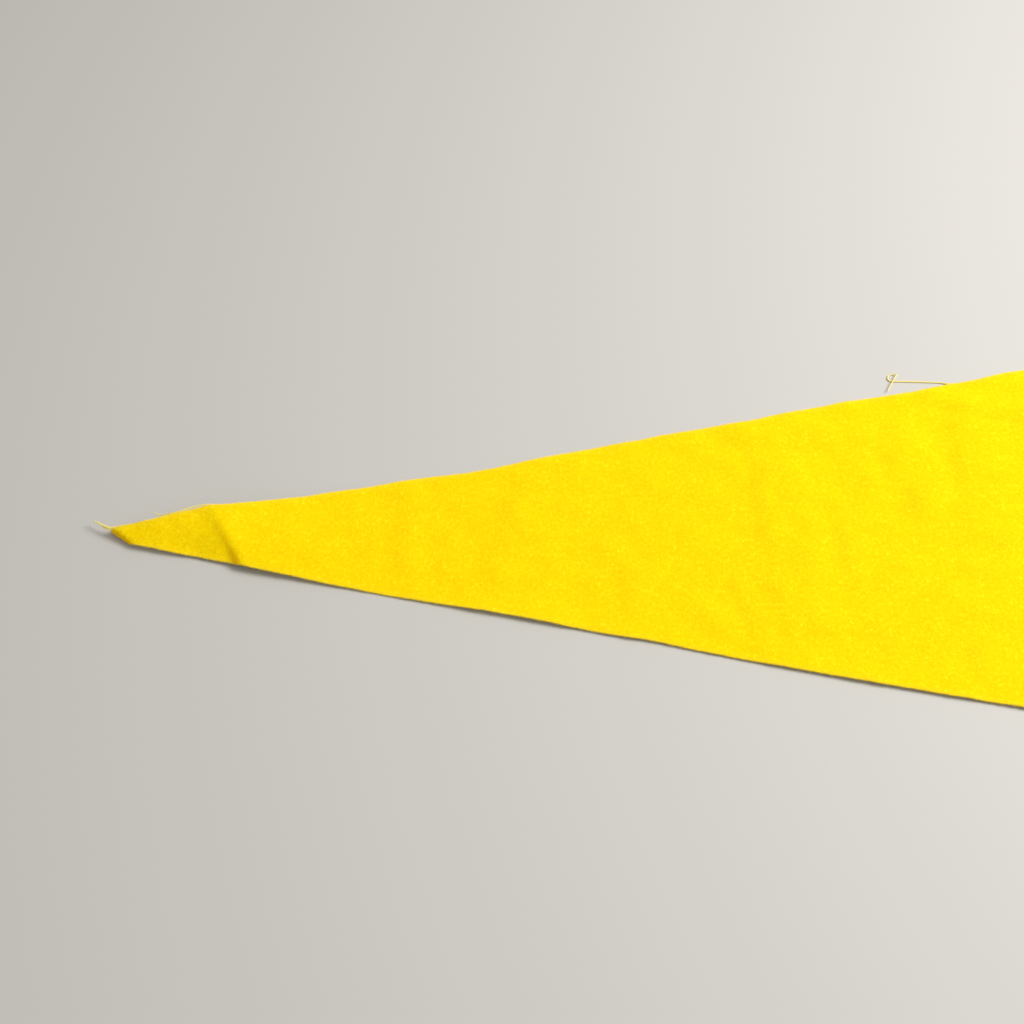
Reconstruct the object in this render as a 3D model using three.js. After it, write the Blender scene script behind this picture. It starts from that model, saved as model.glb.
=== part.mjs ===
// A small pennant of brushed cotton, cut as one long triangle with raw edges.
// It lies flat, with a soft crease near the point, a raised far edge there, and the very point
// rolled under. Three yarns have frayed out of the cuts.
// Millimetres. The surface it lies on is z = 0. The point is towards -X and the hoist end towards
// +X. The near edge is towards -Y and the far edge towards +Y. The origin is the middle of the
// triangle, two thirds of its length from the point.

import * as THREE from "three";

// Driving dimensions of the cut
const LENGTH = 324;            // along the middle, from the hoist cut to the point
const HOIST_WIDTH = 139;       // along the straight cut at the hoist end
const FRAYED_OFF = 8;          // of the point, worn away to loose yarns
const CLOTH_THICKNESS = 1.0;   // with the nap of both faces
const YARN_THICKNESS = 0.45;
const YARN_STEP = 0.55;        // between the rings of its mesh
const YARN_GAP = 0.3;          // between a yarn and the cloth, or itself where it crosses

const HALF_CLOTH = CLOTH_THICKNESS / 2;
const EDGE_SLOPE = HOIST_WIDTH / 2 / LENGTH;
const ORIGIN_ALONG = (LENGTH * 2) / 3;

// The point is rolled under about a slanting line
const ROLL_ALONG = 15.4;                           // where the line crosses the middle
const ROLL_TURN = THREE.MathUtils.degToRad(53);    // its inward normal, from +X towards the far edge
const ROLL_NORMAL = { x: Math.cos(ROLL_TURN), y: Math.sin(ROLL_TURN) };

// How the cloth lies near the point. Each row is one slanting line across it:
//   along     where the line crosses the middle, from the point
//   slant     how much nearer the point its far end is than the middle
//   far, near how high the far and near edges are lifted
const LIE = [
  { along: 0, slant: 0, far: 3.0, near: 2.3 },
  { along: 12, slant: 3.4, far: 3.0, near: 2.1 },
  { along: 20, slant: 4.3, far: 3.2, near: 1.9 },
  { along: 30, slant: 4.7, far: 4.0, near: 1.4 },
  { along: 40, slant: 5.0, far: 5.0, near: 1.1 },
  { along: 43.5, slant: 5.1, far: 5.2, near: 1.0 },
  { along: 47.2, slant: 5.2, far: 5.6, near: 1.9 },
  { along: 55, slant: 5.0, far: 4.2, near: 1.9 },
  { along: 65, slant: 4.8, far: 2.7, near: 1.4 },
  { along: 75, slant: 4.4, far: 1.6, near: 0.7 },
  { along: 88, slant: 4.0, far: 0.8, near: 0.0 },
  { along: 104, slant: 3.2, far: 0.1, near: 0.0 },
  { along: 110, slant: 2.9, far: 0.0, near: 0.0 },
  { along: LENGTH, slant: 0, far: 0, near: 0 },
];

// The scissor cuts wander. Each row is one place along the cloth:
//   farOut, nearOut how far the far and near cuts stand outside their straight lines
//   nearCurl        how high the near edge curls off the surface
const CUTS = [
  { along: 0, farOut: 0.0, nearOut: 0.0, nearCurl: 0.0 },
  { along: 20, farOut: 0.1, nearOut: -0.2, nearCurl: 0.0 },
  { along: 36, farOut: 0.4, nearOut: -0.4, nearCurl: 0.0 },
  { along: 48, farOut: 0.0, nearOut: -0.4, nearCurl: 0.0 },
  { along: 56, farOut: 0.0, nearOut: 0.5, nearCurl: 0.0 },
  { along: 80, farOut: 0.3, nearOut: 0.6, nearCurl: 0.0 },
  { along: 104, farOut: 0.0, nearOut: 0.4, nearCurl: 0.1 },
  { along: 118, farOut: -0.5, nearOut: 0.1, nearCurl: 0.5 },
  { along: 125, farOut: -1.2, nearOut: -0.1, nearCurl: 0.9 },
  { along: 135, farOut: -1.0, nearOut: -0.1, nearCurl: 1.1 },
  { along: 146, farOut: -0.3, nearOut: 0.0, nearCurl: 1.0 },
  { along: 156, farOut: -0.1, nearOut: 0.1, nearCurl: 0.5 },
  { along: 179, farOut: 0.1, nearOut: -0.2, nearCurl: 0.2 },
  { along: 194, farOut: 0.6, nearOut: 0.3, nearCurl: 0.2 },
  { along: 208, farOut: 0.1, nearOut: 0.5, nearCurl: 0.3 },
  { along: 228, farOut: 0.0, nearOut: 0.8, nearCurl: 0.5 },
  { along: 250, farOut: 0.0, nearOut: 0.7, nearCurl: 0.6 },
  { along: 262, farOut: 0.1, nearOut: 0.2, nearCurl: 0.6 },
  { along: 290, farOut: 0.0, nearOut: -0.2, nearCurl: 0.5 },
  { along: LENGTH, farOut: 0.0, nearOut: 0.0, nearCurl: 0.3 },
];
const CURL_WIDTH = 15;         // of the strip along the near edge that curls

// Shallow ripples where the cloth doesn't lie quite flat:
//   along, across the middle of the ripple, length and width its whole spread
//   lean          how much it shifts along the cloth for each millimetre across
const RIPPLES = [
  { along: 146, across: 5, length: 56, width: 22, lean: 0.3, rise: 0.5 },
  { along: 176, across: -27, length: 30, width: 14, lean: 0.0, rise: 0.4 },
  { along: 231, across: 3, length: 88, width: 17, lean: -0.1, rise: 0.55 },
  { along: 254, across: 6, length: 72, width: 14, lean: 0.0, rise: 0.45 },
  { along: 273, across: 25, length: 52, width: 15, lean: 0.1, rise: 0.5 },
  { along: 297, across: 14, length: 70, width: 15, lean: 0.15, rise: 0.45 },
];

// Steps of the mesh along the cloth, closer where it bends, and across it
const STEPS_ALONG = [
  { to: 24, steps: 20 },
  { to: 43.5, steps: 9 },
  { to: 47.2, steps: 3 },
  { to: 75, steps: 12 },
  { to: 120, steps: 10 },
  { to: LENGTH, steps: 30 },
];
const STEPS_ACROSS = 13;
const PROBE = 0.01;            // for the slope of the cloth at a point

function lookUp(table, column, along) {
  const next = table.findIndex((row) => row.along > along);
  if (next < 0) return table[table.length - 1][column];
  const before = table[next - 1];
  const share = (along - before.along) / (table[next].along - before.along);
  return THREE.MathUtils.lerp(before[column], table[next][column], share);
}

function bump(distance, halfWidth) {
  const share = Math.abs(distance) / halfWidth;
  return share < 1 ? (1 + Math.cos(Math.PI * share)) / 2 : 0;
}

function rippleLift(x, y) {
  return RIPPLES.reduce((lift, ripple) => {
    const across = y - ripple.across;
    const along = x - ripple.along - ripple.lean * across;
    return lift + ripple.rise * bump(along, ripple.width / 2) * bump(across, ripple.length / 2);
  }, 0);
}

// A place on the flat cut: station is measured along the middle, side from -1 near to 1 far
function flatPoint(station, side) {
  const x = station - lookUp(LIE, "slant", station) * side;
  const out = lookUp(CUTS, side > 0 ? "farOut" : "nearOut", x);
  return { x, y: side * (x * EDGE_SLOPE + out) };
}

function liftAt(station, side, flat) {
  const far = lookUp(LIE, "far", station);
  const near = lookUp(LIE, "near", station);
  const fromNearEdge = flat.x * EDGE_SLOPE + flat.y;
  const curl = Math.max(0, 1 - fromNearEdge / CURL_WIDTH) ** 2 * lookUp(CUTS, "nearCurl", flat.x);
  return THREE.MathUtils.lerp(near, far, (side + 1) / 2) + curl + rippleLift(flat.x, flat.y);
}

// Past the roll line the cloth turns down, round and back under itself
function rollUnder(flat, lift) {
  const past = -((flat.x - ROLL_ALONG) * ROLL_NORMAL.x + flat.y * ROLL_NORMAL.y);
  if (past <= 0) return new THREE.Vector3(flat.x, flat.y, HALF_CLOTH + lift);
  const radius = lift / 2;
  const turn = Math.min(past / radius, Math.PI);
  const outward = radius * Math.sin(turn) - Math.max(0, past - radius * Math.PI);
  return new THREE.Vector3(
    flat.x + ROLL_NORMAL.x * (past - outward),
    flat.y + ROLL_NORMAL.y * (past - outward),
    HALF_CLOTH + lift - radius * (1 - Math.cos(turn)),
  );
}

function middleOfCloth(station, side) {
  const flat = flatPoint(station, side);
  return rollUnder(flat, liftAt(station, side, flat));
}

function normalOfCloth(station, side) {
  const along = middleOfCloth(station + PROBE, side).sub(middleOfCloth(station - PROBE, side));
  const across = middleOfCloth(station, side + PROBE).sub(middleOfCloth(station, side - PROBE));
  return along.cross(across).normalize();
}

function stationsAlong() {
  const stations = [FRAYED_OFF];
  for (const { to, steps } of STEPS_ALONG) {
    const from = stations[stations.length - 1];
    for (let step = 1; step <= steps; step += 1) stations.push(from + ((to - from) * step) / steps);
  }
  return stations;
}

// A closed sheet: the upper face, the lower face and a strip round the cut edge
function clothGeometry() {
  const stations = stationsAlong();
  const columns = STEPS_ACROSS + 1;
  const upper = [];
  const lower = [];
  for (const station of stations) {
    for (let column = 0; column < columns; column += 1) {
      const side = (2 * column) / STEPS_ACROSS - 1;
      const middle = middleOfCloth(station, side);
      middle.x -= ORIGIN_ALONG;
      const offset = normalOfCloth(station, side).multiplyScalar(HALF_CLOTH);
      upper.push(middle.clone().add(offset));
      lower.push(middle.sub(offset));
    }
  }
  const faces = [];
  const quad = (a, b, c, d) => faces.push(a, b, c, a, c, d);
  const under = upper.length;
  const at = (row, column) => row * columns + column;
  const lastRow = stations.length - 1;
  for (let row = 0; row < lastRow; row += 1) {
    for (let column = 0; column < STEPS_ACROSS; column += 1) {
      const start = [at(row, column), at(row + 1, column)];
      const end = [at(row + 1, column + 1), at(row, column + 1)];
      quad(...start, ...end);
      quad(...[...start, ...end].reverse().map((index) => index + under));
    }
    const near = [at(row, 0), at(row + 1, 0)];
    quad(near[0], near[0] + under, near[1] + under, near[1]);
    const far = [at(row + 1, STEPS_ACROSS), at(row, STEPS_ACROSS)];
    quad(far[0], far[0] + under, far[1] + under, far[1]);
  }
  for (let column = 0; column < STEPS_ACROSS; column += 1) {
    const point = [at(0, column + 1), at(0, column)];
    quad(point[0], point[0] + under, point[1] + under, point[1]);
    const hoist = [at(lastRow, column), at(lastRow, column + 1)];
    quad(hoist[0], hoist[0] + under, hoist[1] + under, hoist[1]);
  }
  const geometry = new THREE.BufferGeometry();
  const places = [...upper, ...lower].flatMap((point) => point.toArray());
  geometry.setAttribute("position", new THREE.Float32BufferAttribute(places, 3));
  geometry.setIndex(faces);
  geometry.computeVertexNormals();
  return geometry;
}

// A yarn follows places measured from the point of the flat cut, x, y and z
function yarnGeometry(places) {
  const path = new THREE.CatmullRomCurve3(
    places.map(([x, y, z]) => new THREE.Vector3(x - ORIGIN_ALONG, y, z)),
  );
  const half = YARN_THICKNESS / 2;
  const section = new THREE.Shape([
    new THREE.Vector2(half, 0),
    new THREE.Vector2(0, half),
    new THREE.Vector2(-half, 0),
    new THREE.Vector2(0, -half),
  ]);
  return new THREE.ExtrudeGeometry(section, {
    extrudePath: path,
    steps: Math.round(path.getLength() / YARN_STEP),
    bevelEnabled: false,
  });
}

const flannel = { color: 0xfbe20a, roughness: 0.95, metalness: 0 };
const bareYarn = { color: 0xf3e58a, roughness: 0.95, metalness: 0 };

function piece(name, geometry, finish) {
  const mesh = new THREE.Mesh(geometry, new THREE.MeshStandardMaterial(finish));
  mesh.name = name;
  return mesh;
}

// The far edge near the point, on the outside of which a frayed yarn lies
function besideFarEdge(station, gap) {
  const edge = middleOfCloth(station, 1);
  return [edge.x, edge.y + YARN_GAP + YARN_THICKNESS / 2 + gap, edge.z];
}

const ON_SURFACE = YARN_THICKNESS / 2 + 0.02;
const OVER_YARN = ON_SURFACE + YARN_THICKNESS + YARN_GAP;

const pennant = new THREE.Group();
pennant.add(
  piece("pennant_cloth", clothGeometry(), flannel),
  piece("frayed_yarn_tip", yarnGeometry([
    besideFarEdge(18.0, 0.0),
    besideFarEdge(15.5, 0.2),
    [8.6, 3.2, 3.4],
    [6.8, 3.8, 3.1],
    [4.2, 5.1, 2.6],
  ]), bareYarn),
  piece("frayed_yarn_crease", yarnGeometry([
    besideFarEdge(46.5, 0.0),
    besideFarEdge(43.0, 0.1),
    besideFarEdge(39.0, 0.5),
    besideFarEdge(35.0, 0.3),
    besideFarEdge(31.0, 0.1),
    [24.2, 7.7, 3.1],
    [22.8, 9.1, 3.3],
  ]), bareYarn),
  piece("frayed_yarn_far_edge", yarnGeometry([
    [291.5, 63.4, 0.6],
    [288.2, 63.2, 0.4],
    [282.8, 62.9, ON_SURFACE],
    [275.6, 62.6, ON_SURFACE],
    [270.6, 62.5, ON_SURFACE],
    [269.4, 63.8, ON_SURFACE],
    [270.6, 65.2, ON_SURFACE],
    [272.4, 64.9, 0.6],
    [271.6, 62.7, OVER_YARN],
    [270.2, 60.7, 1.0],
    [269.4, 59.4, 1.3],
  ]), bareYarn),
);

export default pennant;
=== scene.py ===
"""Dresses a small pennant of brushed cotton that lies flat with its point rolled under.

Lengths are in millimetres, as on a cutting sheet, and become metres where a mesh is made. The
point is towards -X, the hoist end towards +X, the near edge towards -Y and the far edge towards
+Y. Places along the cloth are measured from the point of the flat cut.
"""

import logging
import math
from collections.abc import Mapping, Sequence
from dataclasses import dataclass, field
from enum import Enum

import bpy
import numpy as np
from mathutils import Euler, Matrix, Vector, noise


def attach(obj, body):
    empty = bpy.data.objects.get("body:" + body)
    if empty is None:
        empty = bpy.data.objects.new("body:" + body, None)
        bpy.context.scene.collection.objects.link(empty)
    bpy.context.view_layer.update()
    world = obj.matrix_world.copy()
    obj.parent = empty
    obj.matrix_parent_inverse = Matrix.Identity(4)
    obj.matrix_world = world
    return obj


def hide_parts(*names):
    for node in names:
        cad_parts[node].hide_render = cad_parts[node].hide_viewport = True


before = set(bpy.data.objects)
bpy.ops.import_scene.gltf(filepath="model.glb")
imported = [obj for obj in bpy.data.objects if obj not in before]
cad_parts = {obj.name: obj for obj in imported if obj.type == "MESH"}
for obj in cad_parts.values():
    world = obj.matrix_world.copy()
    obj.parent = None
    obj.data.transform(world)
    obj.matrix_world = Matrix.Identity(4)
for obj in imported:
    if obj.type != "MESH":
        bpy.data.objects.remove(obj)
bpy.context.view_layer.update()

LOG = logging.getLogger("pennant")
MM = 0.001
BODY = "root"


# Small helpers


def linear(hex_colour: str) -> tuple[float, float, float, float]:
    """Turns an sRGB hex colour to the linear colour that a shader takes.

    Args:
        hex_colour: The colour as "#rrggbb".

    Returns:
        Linear red, green and blue, and an alpha of 1.
    """
    parts = [int(hex_colour[i : i + 2], 16) / 255 for i in (1, 3, 5)]
    red, green, blue = (c / 12.92 if c <= 0.04045 else ((c + 0.055) / 1.055) ** 2.4 for c in parts)
    return (red, green, blue, 1.0)


def add_node(
    tree: bpy.types.NodeTree,
    kind: str,
    inputs: Mapping[str | int, object] | None = None,
    **options: object,
) -> bpy.types.Node:
    """Adds a node, sets its options and fills its sockets.

    Args:
        tree: The shader or geometry tree.
        kind: Blender's name for the node.
        inputs: What goes into each socket, by name or number: a value or another node's output.
        **options: The node's own options, which are set first.

    Returns:
        The new node.
    """
    node = tree.nodes.new(kind)
    for option, choice in options.items():
        setattr(node, option, choice)
    for socket, source in (inputs or {}).items():
        if isinstance(source, bpy.types.NodeSocket):
            tree.links.new(source, node.inputs[socket])
        else:
            node.inputs[socket].default_value = source
    return node


def smooth_look_up(places: np.ndarray, values: np.ndarray, along: np.ndarray) -> np.ndarray:
    """Follows a table with a smooth line that never swings past its values.

    Args:
        places: Where each row of the table is, in rising order.
        values: What the table says there.
        along: The places asked for.

    Returns:
        The value at each place asked for.
    """
    gaps = np.diff(places)
    slopes = np.diff(values) / gaps
    before, after = slopes[:-1], slopes[1:]
    level = before * after <= 0
    tangents = np.zeros(len(values))
    total = np.where(level, 1.0, before + after)
    tangents[1:-1] = np.where(level, 0.0, 2 * before * after / total)
    row = np.clip(np.searchsorted(places, along, side="right") - 1, 0, len(gaps) - 1)
    share = np.clip((along - places[row]) / gaps[row], 0, 1)
    rest = 1 - share
    return (
        values[row] * (1 + 2 * share) * rest**2
        + tangents[row] * gaps[row] * share * rest**2
        + values[row + 1] * (3 - 2 * share) * share**2
        - tangents[row + 1] * gaps[row] * rest * share**2
    )


def swell(distance: np.ndarray, half_width: float) -> np.ndarray:
    """Gives a soft hump: 1 in the middle and 0 from half_width on."""
    share = np.clip(np.abs(distance) / half_width, 0, 1)
    return (1 + np.cos(math.pi * share)) / 2


# The shape in which the cloth lies


@dataclass(frozen=True)
class LieLine:
    """How one slanting line across the cloth lies: its place, its slant and how high it is lifted."""

    along: float
    slant: float
    far: float
    near: float


@dataclass(frozen=True)
class CutPlace:
    """How far the two long cuts wander outwards at one place, and how high the near edge curls."""

    along: float
    far_out: float
    near_out: float
    near_curl: float


class Run(Enum):
    """The two ways in which a soft fold's crest can run."""

    ACROSS = "from the far edge to the near edge"
    ALONG = "from the point's end to the hoist end"


@dataclass(frozen=True)
class SoftFold:
    """A low crest left by handling, with one flank steeper than the other.

    The crest runs through its places, given along and across the flat cut. The flank before it is
    on the point's side, or the near side of a crest that runs along the cloth.
    """

    run: Run
    crest: Sequence[tuple[float, float]]
    before: float
    after: float
    rise: float
    fade: float = 9.0

    def lift(self, x: np.ndarray, y: np.ndarray) -> np.ndarray:
        """Gives how high the fold lifts the cloth at each place.

        Args:
            x: Along the flat cut, from the point.
            y: Across the flat cut, from its middle line.

        Returns:
            The lift in millimetres.
        """
        places = np.array(self.crest, float)
        if self.run is Run.ACROSS:
            places = places[::-1]
            there, from_crest = y, x
            crest = np.interp(y, places[:, 1], places[:, 0])
            ends = places[0, 1], places[-1, 1]
        else:
            there, from_crest = x, y
            crest = np.interp(x, places[:, 0], places[:, 1])
            ends = places[0, 0], places[-1, 0]
        off = from_crest - crest
        flank = np.where(off < 0, swell(off, self.before), swell(off, self.after))
        past_end = np.maximum(ends[0] - there, there - ends[1])
        return self.rise * flank * swell(np.clip(past_end, 0, None), self.fade)


@dataclass
class LyingCloth:
    """The middle surface of the cloth as it lies, in millimetres."""

    length: float = 324.0
    hoist_width: float = 139.0
    frayed_off: float = 10.0
    thickness: float = 1.0
    trim: float = 0.35
    curl_width: float = 15.0
    roll_along: float = 17.95
    roll_turn: float = math.radians(38)
    roll_soft: float = 3.0
    roll_steps: int = 401
    tightest_roll: float = 0.2
    lie: Sequence[LieLine] = (
        LieLine(0, 0.0, 2.5, 1.7),
        LieLine(12, 3.4, 2.8, 1.5),
        LieLine(20, 4.4, 3.2, 1.15),
        LieLine(30, 5.0, 4.0, 0.65),
        LieLine(37, 5.6, 4.75, 0.4),
        LieLine(41.6, 6.2, 4.95, 0.65),
        LieLine(44.0, 6.4, 5.2, 1.08),
        LieLine(46.3, 6.3, 5.5, 1.93),
        LieLine(47.4, 6.1, 5.6, 2.15),
        LieLine(48.6, 6.1, 5.5, 2.22),
        LieLine(50.5, 6.0, 5.3, 2.05),
        LieLine(55, 5.7, 4.3, 1.9),
        LieLine(65, 5.0, 2.7, 1.4),
        LieLine(75, 4.6, 1.6, 0.7),
        LieLine(88, 4.0, 0.8, 0.0),
        LieLine(104, 3.2, 0.1, 0.0),
        LieLine(110, 2.9, 0.0, 0.0),
        LieLine(324, 0.0, 0.0, 0.0),
    )
    cuts: Sequence[CutPlace] = (
        CutPlace(0, 0.2, 0.0, 0.0),
        CutPlace(16, 0.25, -0.52, 0.0),
        CutPlace(19.5, 0.25, -0.33, 0.0),
        CutPlace(23, 0.15, -0.44, 0.0),
        CutPlace(27, 0.4, -0.25, 0.0),
        CutPlace(31, 0.55, -0.3, 0.0),
        CutPlace(36, 0.65, -0.47, 0.0),
        CutPlace(38.5, 0.75, -0.55, 0.0),
        CutPlace(41, 0.85, -0.4, 0.0),
        CutPlace(45, 0.5, -0.3, 0.0),
        CutPlace(48, 0.4, -0.25, 0.0),
        CutPlace(50.5, 0.3, 0.08, 0.0),
        CutPlace(52.5, 0.3, 0.5, 0.0),
        CutPlace(54.5, 0.3, 0.64, 0.0),
        CutPlace(57, 0.3, 0.68, 0.0),
        CutPlace(68, 0.3, 0.75, 0.0),
        CutPlace(80, 0.25, 0.85, 0.0),
        CutPlace(92, 0.15, 0.85, 0.0),
        CutPlace(101, 0.4, 0.9, 0.1),
        CutPlace(110, 0.1, 0.8, 0.3),
        CutPlace(117, -0.6, 0.75, 0.5),
        CutPlace(125, -1.0, 0.65, 0.9),
        CutPlace(135, -1.0, 0.55, 1.1),
        CutPlace(146, -0.4, 0.6, 1.0),
        CutPlace(156, -0.3, 0.7, 0.5),
        CutPlace(173, -0.05, 0.7, 0.2),
        CutPlace(180, -0.1, 0.45, 0.2),
        CutPlace(187, 0.2, 0.6, 0.2),
        CutPlace(194, 0.05, 0.85, 0.2),
        CutPlace(208, -0.25, 1.1, 0.3),
        CutPlace(218, -0.3, 1.2, 0.4),
        CutPlace(228, 0.1, 1.25, 0.5),
        CutPlace(246, 0.35, 1.25, 0.6),
        CutPlace(258, 0.3, 1.0, 0.6),
        CutPlace(270, -0.4, 0.9, 0.6),
        CutPlace(284, -0.35, 0.6, 0.5),
        CutPlace(290, 0.15, 0.5, 0.5),
        CutPlace(301, -0.1, 0.5, 0.4),
        CutPlace(312, 0.6, 0.5, 0.3),
        CutPlace(324, 0.4, 0.4, 0.3),
    )
    folds: Sequence[SoftFold] = (
        SoftFold(Run.ACROSS, ((149.5, 29), (142, 8), (135, -13)), 10, 18, 0.5),
        SoftFold(Run.ACROSS, ((105, 18), (106, -8)), 8, 8, 0.42),
        SoftFold(Run.ACROSS, ((175.3, -14), (176.5, -36)), 7, 12, 0.34),
        SoftFold(Run.ACROSS, ((209.5, -19), (213.5, -36)), 3.5, 9, 0.3),
        SoftFold(Run.ACROSS, ((218, 44), (220, 32)), 5, 16, 0.18),
        SoftFold(Run.ACROSS, ((222.5, 25), (223, 4), (223.5, -25), (226, -36)), 6.5, 18, 0.42),
        SoftFold(Run.ACROSS, ((231, 27), (235, 3), (235.5, -20)), 9, 9, 0.5),
        SoftFold(Run.ACROSS, ((245.5, 2), (247, -18)), 5, 14, 0.2),
        SoftFold(Run.ACROSS, ((256.5, 29), (260, 2)), 14, 5, 0.25),
        SoftFold(Run.ACROSS, ((267.5, 43), (268.5, 25), (273.5, 12)), 7, 9, 0.4),
        SoftFold(Run.ACROSS, ((272.5, 44), (276.5, 24), (275.5, 10)), 9, 8.5, 0.42),
        SoftFold(Run.ACROSS, ((291, 42), (290.5, 25), (289.5, 1)), 7, 30, 0.56),
        SoftFold(Run.ALONG, ((12, 2), (24, 0.5), (40, -1.5), (47, -3)), 6, 12, 0.4),
        SoftFold(Run.ALONG, ((284, 56), (293, 53.5), (306, 50), (324, 46)), 5.5, 9, 0.72),
        SoftFold(Run.ALONG, ((217, 40), (238, 39.8), (258, 39.5)), 7, 9, 0.42),
        SoftFold(Run.ALONG, ((220, -31), (238, -33), (257, -31), (271, -27), (292, -31)), 8, 26, 0.4),
    )
    probe: float = 0.01

    @property
    def origin_along(self) -> float:
        """The row frame's origin, measured from the point."""
        return self.length * 2 / 3

    @property
    def edge_slope(self) -> float:
        """How fast each long cut leaves the middle line."""
        return self.hoist_width / 2 / self.length

    def _read(self, table: Sequence[object], column: str, along: np.ndarray) -> np.ndarray:
        """Reads one column of a table at many places along the cloth.

        Args:
            table: The rows, in rising order along the cloth.
            column: The name of the column.
            along: The places asked for.

        Returns:
            The column's value at each place.
        """
        places = np.array([row.along for row in table], float)
        values = np.array([getattr(row, column) for row in table], float)
        return smooth_look_up(places, values, along)

    def flat_place(self, station: np.ndarray, side: np.ndarray) -> tuple[np.ndarray, np.ndarray]:
        """Finds a place on the flat cut.

        Args:
            station: Where its slanting line crosses the middle, from the point.
            side: From -1 on the near cut to 1 on the far cut.

        Returns:
            Its place along and across the flat cut.
        """
        x = station - self._read(self.lie, "slant", station) * side
        far = self._read(self.cuts, "far_out", x)
        near = self._read(self.cuts, "near_out", x)
        half = x * self.edge_slope + np.where(side > 0, far, near) - self.trim
        return x, side * half

    def lift(self, station: np.ndarray, side: np.ndarray, x: np.ndarray, y: np.ndarray) -> np.ndarray:
        """Gives how high the cloth stands off the surface at each place.

        Args:
            station: Where its slanting line crosses the middle, from the point.
            side: From -1 on the near cut to 1 on the far cut.
            x: Its place along the flat cut.
            y: Its place across the flat cut.

        Returns:
            The height of the cloth's underside before the point is rolled.
        """
        far = self._read(self.lie, "far", station)
        near = self._read(self.lie, "near", station)
        inside = np.clip(1 - (x * self.edge_slope + y) / self.curl_width, 0, None)
        lift = near + (far - near) * (side + 1) / 2
        lift = lift + inside**2 * self._read(self.cuts, "near_curl", x)
        for fold in self.folds:
            lift = lift + fold.lift(x, y)
        return lift

    def _rolled(self, past: np.ndarray) -> tuple[np.ndarray, np.ndarray]:
        """Follows cloth that turns under more and more tightly, then lies flat under itself.

        Args:
            past: How far past the roll line the cloth goes, in radii.

        Returns:
            How far it ends up inwards of the line and how far down, in radii.
        """
        share = np.linspace(0, 1, self.roll_steps)
        turn = math.pi * share**self.roll_soft
        step = share[1] - share[0]
        sink = np.concatenate([[0], np.cumsum((np.sin(turn[:-1]) + np.sin(turn[1:])) / 2)]) * step
        back = -np.concatenate([[0], np.cumsum((np.cos(turn[:-1]) + np.cos(turn[1:])) / 2)]) * step
        whole = 2 / sink[-1]
        at = np.clip(past / whole, 0, 1)
        beyond = np.clip(past - whole, 0, None)
        return np.interp(at, share, back) * whole + beyond, np.interp(at, share, sink) * whole

    def middle(self, station: np.ndarray, side: np.ndarray) -> np.ndarray:
        """Gives places in the middle of the cloth's thickness as it lies.

        Args:
            station: Where the slanting line crosses the middle, from the point.
            side: From -1 on the near cut to 1 on the far cut.

        Returns:
            One row of x, y and z for each place, from the row frame's origin.
        """
        x, y = self.flat_place(station, side)
        lift = self.lift(station, side, x, y)
        inwards = (math.cos(self.roll_turn), math.sin(self.roll_turn))
        past = np.clip(-((x - self.roll_along) * inwards[0] + y * inwards[1]), 0, None)
        radius = np.maximum(lift / 2, self.tightest_roll)
        moved, down = self._rolled(past / radius)
        moved = past + moved * radius
        down = down * radius
        return np.stack(
            [
                x + inwards[0] * moved - self.origin_along,
                y + inwards[1] * moved,
                self.thickness / 2 + lift - down,
            ],
            axis=-1,
        )

    def facing(self, station: np.ndarray, side: np.ndarray) -> np.ndarray:
        """Gives the direction that the cloth's upper face looks in.

        Args:
            station: Where the slanting line crosses the middle, from the point.
            side: From -1 on the near cut to 1 on the far cut.

        Returns:
            One unit vector for each place.
        """
        along = self.middle(station + self.probe, side) - self.middle(station - self.probe, side)
        across = self.middle(station, side + self.probe) - self.middle(station, side - self.probe)
        normal = np.cross(along, across)
        return normal / np.linalg.norm(normal, axis=-1, keepdims=True)


# Finishes


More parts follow.
